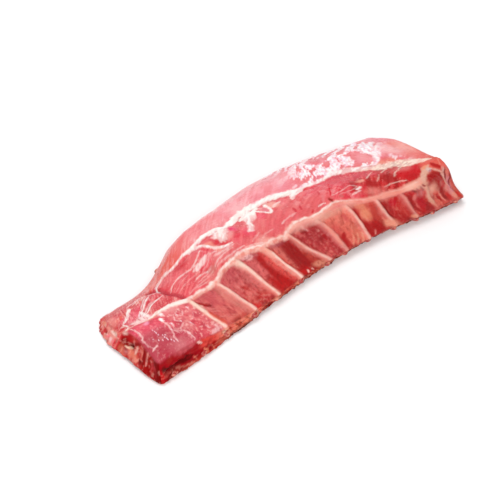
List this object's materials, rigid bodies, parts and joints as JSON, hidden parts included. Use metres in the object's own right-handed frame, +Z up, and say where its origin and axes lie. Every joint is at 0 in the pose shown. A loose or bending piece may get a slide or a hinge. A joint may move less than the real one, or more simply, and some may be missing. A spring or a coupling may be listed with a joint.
{
  "type": "pork back ribs",
  "caption": "Raw slab of pork back ribs with the loin meat on: an arched slab lying meat side up, its cut rib tips showing along one long edge.",
  "frame": {"origin": "bottom centre of the slab's box, on the plane it rests on", "axes": "+X along the slab from its thick end to its thin end, +Y across it from the cut rib tips to the chine edge, +Z up, meat side up"},
  "size_m": [0.4636, 0.1749, 0.0509],
  "materials": {
    "meat": "raw, moist pork with fat seams",
    "bone": "cut bone with reddish marrow"
  },
  "bodies": {
    "root": {"meat": "meat", "rib_01": "bone", "rib_02": "bone", "rib_03": "bone", "rib_04": "bone", "rib_05": "bone", "rib_06": "bone", "rib_07": "bone", "rib_08": "bone", "rib_09": "bone", "rib_10": "bone", "rib_11": "bone", "rib_12": "bone", "rib_13": "bone"}
  },
  "joints": []
}
